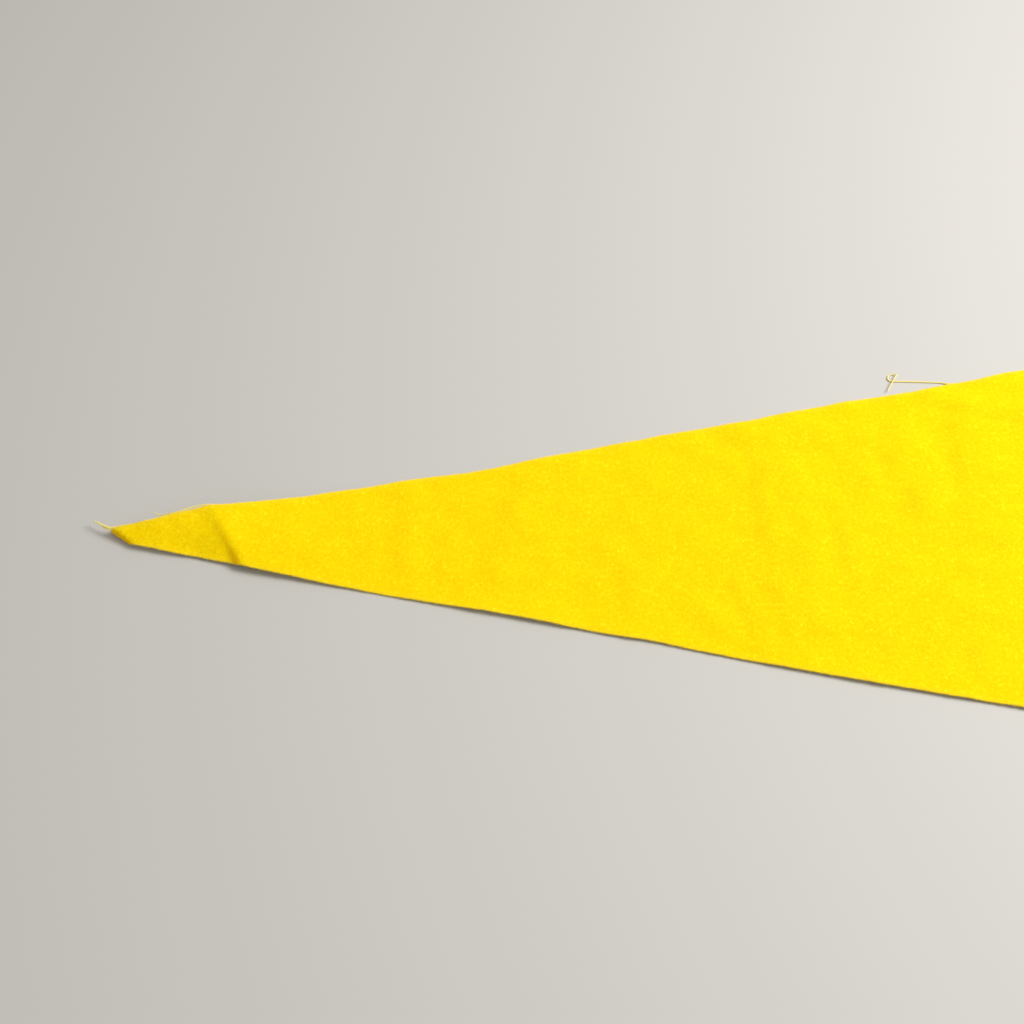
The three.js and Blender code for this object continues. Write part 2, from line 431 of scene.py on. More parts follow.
@dataclass(frozen=True)
class Flannel:
    """Cotton flannel, woven, dyed yellow and brushed on both faces.

    Brushing pulls the ends of short fibres out of the weave, so the eye sees a matt, slightly
    clouded surface of fine flecks, with the weave only just showing through.
    """

    yellow: str = "#f7d800"
    deep: str = "#f5d000"
    pale: str = "#fae40a"
    lint: str = "#fdee38"
    # The next colour is painted shade: a deeper orange for faces that lean away from the lamp
    painted_shade: str = "#f5c200"
    # The next colour is a pale rim: partly loosened thread ends, partly painted highlight
    fuzz_and_highlight: str = "#f7d944"
    sheen_tint: str = "#ffe680"
    thread_spacing: float = 0.45
    thread_waver: float = 0.6
    brushed: tuple[float, float, float] = (0.8, 0.7, 1.0)
    fleck: float = 0.4
    cloud: float = 0.95
    drift: float = 4.0
    fleck_share: float = 1.2
    drift_share: float = 0.35
    weave_share: float = 0.35
    deepest_at: float = 0.88
    palest_at: float = 1.68
    relief_depth: float = 0.14
    relief_strength: float = 0.45
    roughness: float = 0.92
    specular: float = 0.04

    def material(self, name: str) -> bpy.types.Material:
        """Builds the material on the flat cut's own coordinates, so that it follows the folds.

        Args:
            name: The material's name.

        Returns:
            The finished material.
        """
        material = bpy.data.materials.new(name)
        material.use_nodes = True
        tree = material.node_tree
        tree.nodes.clear()
        cut = add_node(tree, "ShaderNodeUVMap", uv_map="flat_cut").outputs[0]
        brushed = add_node(tree, "ShaderNodeMapping", {0: cut, "Scale": self.brushed}).outputs[0]
        flecks = add_node(
            tree,
            "ShaderNodeTexNoise",
            {"Vector": brushed, "Scale": 1 / (self.fleck * MM), "Detail": 3.0, "Roughness": 0.6},
        )
        clouds = add_node(
            tree,
            "ShaderNodeTexNoise",
            {"Vector": brushed, "Scale": 1 / (self.cloud * MM), "Detail": 2.0, "Roughness": 0.5},
        )
        drift = add_node(
            tree,
            "ShaderNodeTexNoise",
            {"Vector": cut, "Scale": 1 / (self.drift * MM), "Detail": 2.0, "Roughness": 0.5},
        )
        # The warp and the weft: a wave repeats every 0.314 / scale
        threads = {
            "Vector": cut,
            "Scale": 0.314 / (self.thread_spacing * MM),
            "Distortion": self.thread_waver,
        }
        warp = add_node(tree, "ShaderNodeTexWave", threads, bands_direction="Y")
        weft = add_node(tree, "ShaderNodeTexWave", threads, bands_direction="X")
        weave = add_node(
            tree,
            "ShaderNodeMath",
            {0: warp.outputs["Fac"], 1: weft.outputs["Fac"]},
            operation="MULTIPLY",
        )
        mixed = add_node(
            tree,
            "ShaderNodeMath",
            {0: flecks.outputs["Fac"], 1: self.fleck_share, 2: clouds.outputs["Fac"]},
            operation="MULTIPLY_ADD",
        )
        mixed = add_node(
            tree,
            "ShaderNodeMath",
            {0: drift.outputs["Fac"], 1: self.drift_share, 2: mixed.outputs[0]},
            operation="MULTIPLY_ADD",
        )
        shade = add_node(
            tree,
            "ShaderNodeMapRange",
            {"Value": mixed.outputs[0], "From Min": self.deepest_at, "From Max": self.palest_at},
        )
        ramp = add_node(tree, "ShaderNodeValToRGB", {0: shade.outputs[0]})
        stops = ramp.color_ramp.elements
        stops[0].color = linear(self.deep)
        stops[1].color = linear(self.lint)
        stops.new(0.5).color = linear(self.yellow)
        stops.new(0.8).color = linear(self.pale)
        # Painted shade: where the face leans away from the lamp, on the crease's flank and on the roll, the
        # colour is pulled towards a deeper orange
        shade_share = add_node(tree, "ShaderNodeAttribute", attribute_name="painted_shade_share")
        colour = add_node(
            tree,
            "ShaderNodeMix",
            {0: shade_share.outputs["Fac"], 6: ramp.outputs[0], 7: linear(self.painted_shade)},
            data_type="RGBA",
        )
        # Beside a raw cut the colour turns paler: partly the loosened ends of the threads, partly a painted
        # highlight along the rim, strongest along the far cut
        pale_rim_share = add_node(tree, "ShaderNodeAttribute", attribute_name="fuzz_and_highlight_rim")
        colour = add_node(
            tree,
            "ShaderNodeMix",
            {0: pale_rim_share.outputs["Fac"], 6: colour.outputs[2], 7: linear(self.fuzz_and_highlight)},
            data_type="RGBA",
        )
        relief = add_node(
            tree,
            "ShaderNodeMath",
            {0: weave.outputs[0], 1: self.weave_share, 2: flecks.outputs["Fac"]},
            operation="MULTIPLY_ADD",
        )
        bump = add_node(
            tree,
            "ShaderNodeBump",
            {
                "Strength": self.relief_strength,
                "Distance": self.relief_depth * MM,
                "Height": relief.outputs[0],
            },
        )
        shader = add_node(
            tree,
            "ShaderNodeBsdfPrincipled",
            {
                "Base Color": colour.outputs[2],
                "Roughness": self.roughness,
                "Specular IOR Level": self.specular,
                "Diffuse Roughness": 0.6,
                "Sheen Weight": 0.02,
                "Sheen Roughness": 0.5,
                "Sheen Tint": linear(self.sheen_tint),
                "Normal": bump.outputs[0],
            },
        )
        add_node(tree, "ShaderNodeOutputMaterial", {0: shader.outputs[0]})
        return material


@dataclass(frozen=True)
class CottonFibre:
    """Loose cotton fibre and raw yarn, spun or brushed out of the cloth.

    Round and matt, so that it catches light all along, and paler than the dense cloth.
    """

    colour: str
    tint: str
    grain: float = 0.35
    relief_depth: float = 0.05
    relief_strength: float = 0.4
    roughness: float = 0.85
    specular: float = 0.06

    def material(self, name: str) -> bpy.types.Material:
        """Builds the material on the piece's own place, which is its Object coordinates.

        Args:
            name: The material's name.

        Returns:
            The finished material.
        """
        material = bpy.data.materials.new(name)
        material.use_nodes = True
        tree = material.node_tree
        tree.nodes.clear()
        place = add_node(tree, "ShaderNodeTexCoord").outputs["Object"]
        grain = add_node(
            tree,
            "ShaderNodeTexNoise",
            {"Vector": place, "Scale": 1 / (self.grain * MM), "Detail": 2.0},
        )
        colour = add_node(
            tree,
            "ShaderNodeMix",
            {0: grain.outputs["Fac"], 6: linear(self.colour), 7: linear(self.tint)},
            data_type="RGBA",
        )
        bump = add_node(
            tree,
            "ShaderNodeBump",
            {
                "Strength": self.relief_strength,
                "Distance": self.relief_depth * MM,
                "Height": grain.outputs["Fac"],
            },
        )
        shader = add_node(
            tree,
            "ShaderNodeBsdfPrincipled",
            {
                "Base Color": colour.outputs[2],
                "Roughness": self.roughness,
                "Specular IOR Level": self.specular,
                "Sheen Weight": 0.03,
                "Normal": bump.outputs[0],
            },
        )
        add_node(tree, "ShaderNodeOutputMaterial", {0: shader.outputs[0]})
        return material


def report(piece: bpy.types.Object) -> None:
    """Logs one finished piece: its triangles and how low it reaches.

    Args:
        piece: The piece, a plain mesh at the origin.
    """
    mesh = piece.data
    mesh.calc_loop_triangles()
    lowest = min(vertex.co.z for vertex in mesh.vertices) / MM
    LOG.info("%s: %d triangles, lowest at %.2f mm", piece.name, len(mesh.loop_triangles), lowest)


# Fibres and yarns by Geometry Nodes


@dataclass
class NodeRecipe:
    """A geometry tree with named inputs, run once on an object to make a plain mesh."""

    name: str
    tree: bpy.types.NodeTree = field(init=False)
    entry: bpy.types.Node = field(init=False)

    def __post_init__(self) -> None:
        """Starts an empty tree with a geometry input and output."""
        self.tree = bpy.data.node_groups.new(self.name, "GeometryNodeTree")
        self.tree.interface.new_socket("Geometry", in_out="INPUT", socket_type="NodeSocketGeometry")
        self.tree.interface.new_socket("Geometry", in_out="OUTPUT", socket_type="NodeSocketGeometry")
        self.entry = self.tree.nodes.new("NodeGroupInput")

    def size(self, name: str, kind: str = "NodeSocketFloat") -> bpy.types.NodeSocket:
        """Adds a named input and gives its socket inside the tree."""
        self.tree.interface.new_socket(name, in_out="INPUT", socket_type=kind)
        return self.entry.outputs[name]

    def end(self, geometry: bpy.types.NodeSocket, material: bpy.types.NodeSocket) -> None:
        """Ends the tree with real meshes in their material.

        Args:
            geometry: What the tree has made.
            material: The material that all of it takes.
        """
        real = add_node(self.tree, "GeometryNodeRealizeInstances", {0: geometry})
        dressed = add_node(self.tree, "GeometryNodeSetMaterial", {0: real.outputs[0], 2: material})
        add_node(self.tree, "NodeGroupOutput", {0: dressed.outputs[0]})

    def run(self, source: bpy.types.Object, name: str, sizes: Mapping[str, object]) -> bpy.types.Object:
        """Runs the tree on an object.

        Args:
            source: The mesh or curve that the tree works on. It is left as it was.
            name: The new piece's name.
            sizes: The value of each named input.

        Returns:
            The new piece, a plain mesh at the origin.
        """
        modifier = source.modifiers.new(self.name, "NODES")
        modifier.node_group = self.tree
        for item in self.tree.interface.items_tree:
            if item.in_out == "INPUT" and item.name in sizes:
                modifier[item.identifier] = sizes[item.name]
        source.update_tag()
        bpy.context.view_layer.update()
        seen = source.evaluated_get(bpy.context.evaluated_depsgraph_get())
        mesh = bpy.data.meshes.new_from_object(seen)
        mesh.name = name
        source.modifiers.remove(modifier)
        piece = bpy.data.objects.new(name, mesh)
        bpy.context.scene.collection.objects.link(piece)
        return piece


class FibreForm(Enum):
    """The two forms of loose fibre on the cloth."""

    NAP = "short and straight, lying on the face"
    FRINGE = "bent, standing out of a cut"


@dataclass(frozen=True)
class FibreHabit:
    """How loose fibres bend and differ, as shares of their own length, thickness or lean."""

    bend: float = 0.3
    bend_at: float = 0.5
    thinning: float = 0.7
    least_lean: float = 0.75
    most_lean: float = 1.15
    least_length: float = 0.5
    most_length: float = 1.3


def fibre_recipe(form: FibreForm) -> NodeRecipe:
    """Builds the tree that sets fibres on a surface.

    Args:
        form: Straight spikes of four faces for the nap, or bent tapering fibres for a cut.

    Returns:
        The recipe. Its sizes are in metres and radians.
    """
    habit = FibreHabit()
    recipe = NodeRecipe(f"fibres_{form.name.lower()}")
    tree = recipe.tree
    where = recipe.size("Where", "NodeSocketString")
    density = recipe.size("Fibres per Square Metre")
    length = recipe.size("Fibre Length")
    thickness = recipe.size("Fibre Thickness")
    lean = recipe.size("Lean")
    spread = recipe.size("Spread")
    sunk = recipe.size("Sunk")
    seed = recipe.size("Seed", "NodeSocketInt")
    material = recipe.size("Material", "NodeSocketMaterial")

    share = add_node(tree, "GeometryNodeInputNamedAttribute", {"Name": where}, data_type="FLOAT")
    local = add_node(tree, "ShaderNodeMath", {0: share.outputs[0], 1: density}, operation="MULTIPLY")
    points = add_node(
        tree,
        "GeometryNodeDistributePointsOnFaces",
        {"Mesh": recipe.entry.outputs["Geometry"], "Density": local.outputs[0], "Seed": seed},
        distribute_method="RANDOM",
    )
    radius = add_node(tree, "ShaderNodeMath", {0: thickness, 1: 0.5}, operation="MULTIPLY")
    if form is FibreForm.NAP:
        fibre = add_node(
            tree,
            "GeometryNodeMeshCone",
            {"Vertices": 3, "Radius Top": 0.0, "Radius Bottom": radius.outputs[0], "Depth": length},
            fill_type="NGON",
        )
        shape = fibre.outputs["Mesh"]
    else:
        tip = add_node(tree, "ShaderNodeCombineXYZ", {"X": 0.0, "Z": length})
        belly = add_node(
            tree,
            "ShaderNodeVectorMath",
            {0: tip.outputs[0], 1: (0.0, 0.0, habit.bend_at)},
            operation="MULTIPLY",
        )
        bend = add_node(tree, "ShaderNodeMath", {0: length, 1: habit.bend}, operation="MULTIPLY")
        side = add_node(tree, "ShaderNodeCombineXYZ", {"X": bend.outputs[0]})
        middle = add_node(
            tree,
            "ShaderNodeVectorMath",
            {0: belly.outputs[0], 1: side.outputs[0]},
            operation="ADD",
        )
        curve = add_node(
            tree,
            "GeometryNodeCurveQuadraticBezier",
            {
                "Resolution": 3,
                "Start": (0.0, 0.0, 0.0),
                "Middle": middle.outputs[0],
                "End": tip.outputs[0],
            },
        )
        ring = add_node(
            tree,
            "GeometryNodeCurvePrimitiveCircle",
            {"Resolution": 3, "Radius": radius.outputs[0]},
        )
        share_along = add_node(tree, "GeometryNodeSplineParameter")
        taper = add_node(
            tree,
            "ShaderNodeMath",
            {0: share_along.outputs["Factor"], 1: -habit.thinning, 2: 1.0},
            operation="MULTIPLY_ADD",
        )
        tube = add_node(
            tree,
            "GeometryNodeCurveToMesh",
            {
                "Curve": curve.outputs[0],
                "Profile Curve": ring.outputs[0],
                "Scale": taper.outputs[0],
                "Fill Caps": True,
            },
        )
        shape = tube.outputs[0]
    across = (0.0, 1.0, 0.0) if form is FibreForm.NAP else (1.0, 0.0, 0.0)
    upright = add_node(
        tree,
        "FunctionNodeAxesToRotation",
        {0: points.outputs["Normal"], 1: across},
        primary_axis="Z",
        secondary_axis="X",
    )
    back = add_node(tree, "ShaderNodeMath", {0: spread, 1: -1.0}, operation="MULTIPLY")
    turn = add_node(
        tree,
        "FunctionNodeRandomValue",
        {2: back.outputs[0], 3: spread, "Seed": seed},
        data_type="FLOAT",
    )
    turned = add_node(tree, "ShaderNodeCombineXYZ", {"Z": turn.outputs[1]})
    turned = add_node(tree, "FunctionNodeEulerToRotation", {0: turned.outputs[0]})
    # Each random choice has a seed of its own
    lean_seed = add_node(tree, "ShaderNodeMath", {0: seed, 1: 7.0}, operation="ADD")
    low = add_node(tree, "ShaderNodeMath", {0: lean, 1: habit.least_lean}, operation="MULTIPLY")
    high = add_node(tree, "ShaderNodeMath", {0: lean, 1: habit.most_lean}, operation="MULTIPLY")
    leaning = add_node(
        tree,
        "FunctionNodeRandomValue",
        {2: low.outputs[0], 3: high.outputs[0], "Seed": lean_seed.outputs[0]},
        data_type="FLOAT",
    )
    leaning = add_node(tree, "ShaderNodeCombineXYZ", {"Y": leaning.outputs[1]})
    leaning = add_node(tree, "FunctionNodeEulerToRotation", {0: leaning.outputs[0]})
    facing = add_node(
        tree,
        "FunctionNodeRotateRotation",
        {0: upright.outputs[0], 1: turned.outputs[0]},
        rotation_space="LOCAL",
    )
    facing = add_node(
        tree,
        "FunctionNodeRotateRotation",
        {0: facing.outputs[0], 1: leaning.outputs[0]},
        rotation_space="LOCAL",
    )
    length_seed = add_node(tree, "ShaderNodeMath", {0: seed, 1: 13.0}, operation="ADD")
    grown = add_node(
        tree,
        "FunctionNodeRandomValue",
        {2: habit.least_length, 3: habit.most_length, "Seed": length_seed.outputs[0]},
        data_type="FLOAT",
    )
    grown = add_node(tree, "ShaderNodeCombineXYZ", {"X": 1.0, "Y": 1.0, "Z": grown.outputs[1]})
    down = add_node(
        tree,
        "ShaderNodeVectorMath",
        {0: points.outputs["Normal"], "Scale": sunk},
        operation="SCALE",
    )
    rooted = add_node(
        tree,
        "GeometryNodeSetPosition",
        {0: points.outputs["Points"], "Offset": down.outputs[0]},
    )
    fibres = add_node(
        tree,
        "GeometryNodeInstanceOnPoints",
        {
            "Points": rooted.outputs[0],
            "Instance": shape,
            "Rotation": facing.outputs[0],
            "Scale": grown.outputs[0],
        },
    )
    recipe.end(fibres.outputs[0], material)
    return recipe


@dataclass(frozen=True)
class PlyHabit:
    """How two plies lie in a yarn, as shares of its thickness, and how its free end thins."""

    off_centre: float = 0.23
    radius: float = 0.27
    sides: int = 7
    thins_from: float = 0.5
    thinnest: float = 0.6


def yarn_recipe() -> NodeRecipe:
    """Builds the tree that twists two plies of yarn along a curve.

    Returns:
        The recipe. Its sizes are in metres.
    """
    habit = PlyHabit()
    recipe = NodeRecipe("twisted_yarn")
    tree = recipe.tree
    thickness = recipe.size("Yarn Thickness")
    pitch = recipe.size("Twist Pitch")
    step = recipe.size("Step")
    material = recipe.size("Material", "NodeSocketMaterial")
    route = add_node(
        tree,
        "GeometryNodeResampleCurve",
        {"Curve": recipe.entry.outputs["Geometry"], "Length": step},
        mode="LENGTH",
    )
    along = add_node(tree, "GeometryNodeSplineParameter")
    turns = add_node(tree, "ShaderNodeMath", {0: along.outputs["Length"], 1: pitch}, operation="DIVIDE")
    phase = add_node(tree, "ShaderNodeMath", {0: turns.outputs[0], 1: math.tau}, operation="MULTIPLY")
    sideways = add_node(tree, "GeometryNodeInputNormal")
    forward = add_node(tree, "GeometryNodeInputTangent")
    upward = add_node(
        tree,
        "ShaderNodeVectorMath",
        {0: forward.outputs[0], 1: sideways.outputs[0]},
        operation="CROSS_PRODUCT",
    )
    offset = add_node(tree, "ShaderNodeMath", {0: thickness, 1: habit.off_centre}, operation="MULTIPLY")
    radius = add_node(tree, "ShaderNodeMath", {0: thickness, 1: habit.radius}, operation="MULTIPLY")
    taper = add_node(
        tree,
        "ShaderNodeMapRange",
        {
            "Value": along.outputs["Factor"],
            "From Min": habit.thins_from,
            "From Max": 1.0,
            "To Min": 1.0,
            "To Max": habit.thinnest,
        },
    )
    ring = add_node(
        tree,
        "GeometryNodeCurvePrimitiveCircle",
        {"Resolution": habit.sides, "Radius": radius.outputs[0]},
    )
    joined = add_node(tree, "GeometryNodeJoinGeometry")
    for start in (0.0, math.pi):
        angle = add_node(tree, "ShaderNodeMath", {0: phase.outputs[0], 1: start}, operation="ADD")
        cosine = add_node(tree, "ShaderNodeMath", {0: angle.outputs[0]}, operation="COSINE")
        sine = add_node(tree, "ShaderNodeMath", {0: angle.outputs[0]}, operation="SINE")
        beside = add_node(
            tree,
            "ShaderNodeVectorMath",
            {0: sideways.outputs[0], "Scale": cosine.outputs[0]},
            operation="SCALE",
        )
        above = add_node(
            tree,
            "ShaderNodeVectorMath",
            {0: upward.outputs[0], "Scale": sine.outputs[0]},
            operation="SCALE",
        )
        around = add_node(
            tree,
            "ShaderNodeVectorMath",
            {0: beside.outputs[0], 1: above.outputs[0]},
            operation="ADD",
        )
        away = add_node(
            tree,
            "ShaderNodeVectorMath",
            {0: around.outputs[0], "Scale": offset.outputs[0]},
            operation="SCALE",
        )
        ply = add_node(
            tree,
            "GeometryNodeSetPosition",
            {0: route.outputs[0], "Offset": away.outputs[0]},
        )
        tube = add_node(
            tree,
            "GeometryNodeCurveToMesh",
            {
                "Curve": ply.outputs[0],
                "Profile Curve": ring.outputs[0],
                "Scale": taper.outputs[0],
                "Fill Caps": True,
            },
        )
        tree.links.new(tube.outputs[0], joined.inputs[0])
    recipe.end(joined.outputs[0], material)
    return recipe


# The pieces


@dataclass
class FlannelSheet:
    """The triangle of cloth: one closed sheet with soft round cuts that the scissors left uneven."""

    cloth: LyingCloth
    finish: Flannel
    half_thickness: float = 0.36
    rim_steps: int = 4
    columns_inside: int = 126
    row_steps: Sequence[tuple[float, float]] = ((24.0, 0.36), (60.0, 0.6), (324.0, 1.25))
    cut_wobble: float = 0.12
    wobble_at_cut: int = 40
    snip: float = 2.6
    ragged: float = 0.9
    ragged_share: float = 0.6
    face_wobble: float = 0.5
    broad_wave: tuple[float, float] = (12.0, 9.5)
    small_wave: tuple[float, float] = (6.5, 5.5)
    small_share: float = 0.22
    nap_above: float = 0.6
    nap_facing: float = 0.4
    nap_thick: float = 0.9
    fringe_above: float = 0.5
    fringe_thin: float = 0.75
    # Painted shade: faces that lean towards the point, away from the lamp, take the deeper colour
    shade_from_lean: float = 0.22
    shade_over_lean: float = 0.22
    shade_most: float = 0.85
    # The pale rim beside the cuts is partly loosened thread ends and partly painted highlight, stronger
    # along the far cut
    fuzz_and_highlight_far: float = 0.8
    fuzz_and_highlight_near: float = 0.3
    fuzz_and_highlight_depth: float = 0.6
    piece: bpy.types.Object = field(init=False)

    def _rim(self) -> tuple[np.ndarray, np.ndarray]:
        """Gives the rounded rim's places in from the cut and how thick the cloth is there, 0 to 1."""
        turn = np.linspace(0, math.pi / 2, self.rim_steps + 1)[:-1]
        return self.half_thickness * (1 - np.cos(turn)), np.sin(turn)

    def _stations(self) -> tuple[np.ndarray, np.ndarray]:
        """Sets the rows of the mesh, close together where the cloth rolls and creases.

        Returns:
            The rows' places from the point and their share of the thickness.
        """
        inset, full = self._rim()
        start = self.cloth.frayed_off
        end = self.cloth.length
        inside = [start + self.half_thickness]
        for until, step in self.row_steps:
            last = min(until, end - self.half_thickness)
            count = max(1, round((last - inside[-1]) / step))
            inside.extend(np.linspace(inside[-1], last, count + 1)[1:])
        stations = np.concatenate([start + inset, inside, (end - inset)[::-1]])
        share = np.concatenate([full, np.ones(len(inside)), full[::-1]])
        return stations, share

    def _grid(self) -> tuple[np.ndarray, np.ndarray, np.ndarray]:
        """Sets the grid that both faces of the sheet share.

        Returns:
            Station, side and share of the thickness for every place of the grid.
        """
        stations, row_share = self._stations()
        inset, full = self._rim()
        half_width = stations * self.cloth.edge_slope
        rim = 1 - inset[None, :] / half_width[:, None]
        inside = 1 - self.half_thickness / half_width
        steps = np.linspace(-1, 1, self.columns_inside + 1)
        side = np.concatenate([-rim, inside[:, None] * steps[None, :], rim[:, ::-1]], axis=1)
        column_share = np.concatenate([full, np.ones(len(steps)), full[::-1]])
        station = np.repeat(stations[:, None], side.shape[1], axis=1)
        return station, side, row_share[:, None] * column_share[None, :]

    def _unevenness(self, x: np.ndarray, y: np.ndarray) -> np.ndarray:
        """Gives the low waves of cloth that was handled and not ironed.

        Args:
            x: Along the flat cut, from the point.
            y: Across the flat cut, from its middle line.

        Returns:
            The height to add at each place, in millimetres.
        """
        flat = np.stack([x.ravel(), y.ravel()], axis=-1)
        # The third coordinate picks the random pattern
        waves = [
            noise.noise((px / self.broad_wave[0], py / self.broad_wave[1], 3.1))
            + self.small_share * noise.noise((px / self.small_wave[0], py / self.small_wave[1], 8.7))
            for px, py in flat
        ]
        lowest = self.half_thickness - self.cloth.thickness / 2
        return np.maximum(np.array(waves).reshape(x.shape) * self.face_wobble, lowest)

    def _wander(
        self,
        stations: np.ndarray,
        snips_from: tuple[float, float],
        rags_from: tuple[float, float],
    ) -> np.ndarray:
        """Gives how the scissors strayed along one cut, as a share of the wobble.

        Args:
            stations: The rows, from the point.
            snips_from: Where the random line of the long strays starts.
            rags_from: Where the random line of the small ragged ones starts.

        Returns:
            How far outwards the cut strays at each row.
        """
        strays = [
            noise.noise((s / self.snip, *snips_from))
            + self.ragged_share * noise.noise((s / self.ragged, *rags_from))
            for s in stations
        ]
        return np.array(strays)

    def build(self) -> bpy.types.Object:
        """Builds the sheet and dresses it.

        Returns:
            The finished piece.
        """
        station, side, share = self._grid()
        near_wander = self._wander(station[:, 0], (0.0, 1.7), (0.0, 5.2))
        far_wander = self._wander(station[:, 0], (9.0, 4.4), (7.0, 2.9))
        x, y = self.cloth.flat_place(station, side)
        middle = self.cloth.middle(station, side)
        up = self.cloth.facing(station, side)
        out = np.where(side > 0, far_wander[:, None], near_wander[:, None]) * self.cut_wobble
        middle[..., 1] += np.sign(side) * out * np.abs(side) ** self.wobble_at_cut
        middle[..., 2] += self._unevenness(x, y)
        offset = up * (share * self.half_thickness)[..., None]
        rows, columns = station.shape
        number = np.arange(rows * columns).reshape(rows, columns)
        under = number.copy()
        inner = (rows - 2, columns - 2)
        under[1:-1, 1:-1] = rows * columns + np.arange(math.prod(inner)).reshape(inner)
        upper = (middle + offset).reshape(-1, 3)
        lower = (middle - offset)[1:-1, 1:-1].reshape(-1, 3)
        places = np.concatenate([upper, lower]) * MM
        flat = np.stack([x, y], axis=-1)
        cut = np.concatenate([flat.reshape(-1, 2), flat[1:-1, 1:-1].reshape(-1, 2)]) * MM

        def quads(ids: np.ndarray) -> np.ndarray:
            """Gives the corners of every cell of a grid of vertex numbers."""
            corners = [ids[:-1, :-1], ids[1:, :-1], ids[1:, 1:], ids[:-1, 1:]]
            return np.stack(corners, axis=-1).reshape(-1, 4)

        faces = np.concatenate([quads(number), quads(under)[:, ::-1]])
        mesh = bpy.data.meshes.new("flannel_sheet")
        mesh.from_pydata(places.tolist(), [], faces.tolist())
        mesh.polygons.foreach_set("use_smooth", np.ones(len(faces), bool))
        layer = mesh.uv_layers.new(name="flat_cut")
        layer.data.foreach_set("uv", cut[faces.ravel()].astype(np.float32).ravel())
        inward = station * self.cloth.edge_slope * (1 - np.abs(side))
        # The pale rim: partly loosened thread ends, partly painted highlight, stronger along the far cut
        # than the near one
        fuzz_and_highlight_share = np.where(side > 0, self.fuzz_and_highlight_far, self.fuzz_and_highlight_near) * np.exp(-inward / self.fuzz_and_highlight_depth)
        self._mark(mesh, up, share, fuzz_and_highlight_share, places)
        mesh.materials.append(self.finish.material("brushed_flannel"))
        self.piece = bpy.data.objects.new("flannel_sheet", mesh)
        bpy.context.scene.collection.objects.link(self.piece)
        return self.piece

    def _mark(
        self,
        mesh: bpy.types.Mesh,
        up: np.ndarray,
        share: np.ndarray,
        fuzz_and_highlight_share: np.ndarray,
        places: np.ndarray,
    ) -> None:
        """Marks where the nap and fringe grow, where shade is painted on faces that lean away from the
        lamp, and where the cuts take a pale rim of fuzz and painted highlight.

        Args:
            mesh: The sheet.
            up: The upper face's direction over the grid.
            share: The share of the full thickness over the grid, which falls to 0 at the cuts.
            fuzz_and_highlight_share: How much of the pale rim colour, partly loosened thread ends and
                partly painted highlight, each place of the grid takes up, 0 to 1.
            places: Every vertex's place in metres, the upper face's first.
        """
        upper = share.size
        heights = places[:upper, 2] / MM
        facing = up.reshape(-1, 3)
        thick = share.ravel() > self.nap_thick
        face = thick & (facing[:, 2] > self.nap_facing) & (heights > self.nap_above)
        cut = (share.ravel() < self.fringe_thin) & (heights > self.fringe_above)
        # Painted shade: the more the upper face leans towards -X, away from the lamp, the more it takes the
        # deeper colour
        leaning = (-facing[:, 0] - self.shade_from_lean) / self.shade_over_lean
        painted_shade = np.clip(leaning, 0, self.shade_most)
        marks = {"cuts": cut, "painted_shade_share": painted_shade, "fuzz_and_highlight_rim": fuzz_and_highlight_share.ravel()}
        # A triangle's thirds of equal area end at the square roots of 1/3 and 2/3 of its length
        thirds = np.array([0.0, 1 / 3, 2 / 3, 1.0]) ** 0.5 * self.cloth.length - self.cloth.origin_along
        slack = 1e-6
        along = places[:upper, 0] / MM
        for number, (start, end) in enumerate(zip(thirds[:-1], thirds[1:]), start=1):
            marks[f"nap_{number}"] = face & (along >= start - slack) & (along < end + slack)
        for name, mark in marks.items():
            values = np.zeros(len(places), np.float32)
            values[:upper] = mark
            mesh.attributes.new(name, "FLOAT", "POINT").data.foreach_set("value", values)


@dataclass(frozen=True)
class FibreGrowth:
    """How thickly fibres grow and how they stand, in millimetres and degrees.

    A real cotton fibre is about 0.015 mm thick. Each one here stands for a wisp of several, drawn
    as coarse as it needs to be to show.
    """

    per_square_mm: float
    length: float
    thickness: float
    lean: float
    spread: float
    sunk: float

    def sizes(self, where: str, seed: int, material: bpy.types.Material) -> dict[str, object]:
        """Gives the fibre recipe its named inputs.

        Args:
            where: The attribute that is 1 where fibres grow.
            seed: What the random places start from.
            material: The fibres' material.

        Returns:
            The value of each input, in metres and radians.
        """
        return {
            "Where": where,
            "Fibres per Square Metre": self.per_square_mm / MM**2,
            "Fibre Length": self.length * MM,
            "Fibre Thickness": self.thickness * MM,
            "Lean": math.radians(self.lean),
            "Spread": math.radians(self.spread),
            "Sunk": self.sunk * MM,
            "Seed": seed,
            "Material": material,
        }


@dataclass
class Nap:
    """The brushed fibres on the upper face and along the cuts."""

    sheet: FlannelSheet
    face_fibre: CottonFibre
    cut_fibre: CottonFibre
    face: FibreGrowth = FibreGrowth(4.0, 0.7, 0.08, lean=75, spread=70, sunk=0.03)
    fringe: FibreGrowth = FibreGrowth(24.0, 0.45, 0.06, lean=35, spread=180, sunk=-0.02)
    face_seed: int = 20
    fringe_seed: int = 31

    def build(self) -> list[bpy.types.Object]:
        """Grows the nap in three zones and the fringe of the cuts.

        Returns:
            The four pieces.
        """
        nap = fibre_recipe(FibreForm.NAP)
        fringe = fibre_recipe(FibreForm.FRINGE)
        material = self.face_fibre.material("nap_fibre")
        pieces = []
        for number in (1, 2, 3):
            sizes = self.face.sizes(f"nap_{number}", self.face_seed + number, material)
            pieces.append(nap.run(self.sheet.piece, f"nap_{number}", sizes))
        material = self.cut_fibre.material("cut_edge_fibre")
        sizes = self.fringe.sizes("cuts", self.fringe_seed, material)
        pieces.append(fringe.run(self.sheet.piece, "cut_edge_fringe", sizes))
        return pieces


@dataclass(frozen=True)
class LooseYarn:
    """A yarn that has frayed out of a cut: its route from its root to its free end, and its size.

    A shorter strand may have split off near the root.
    """

    name: str
    replaces: str
    places: Sequence[tuple[float, float, float]]
    thickness: float
    pitch: float = 1.5
    split_ply: Sequence[tuple[float, float, float]] = ()


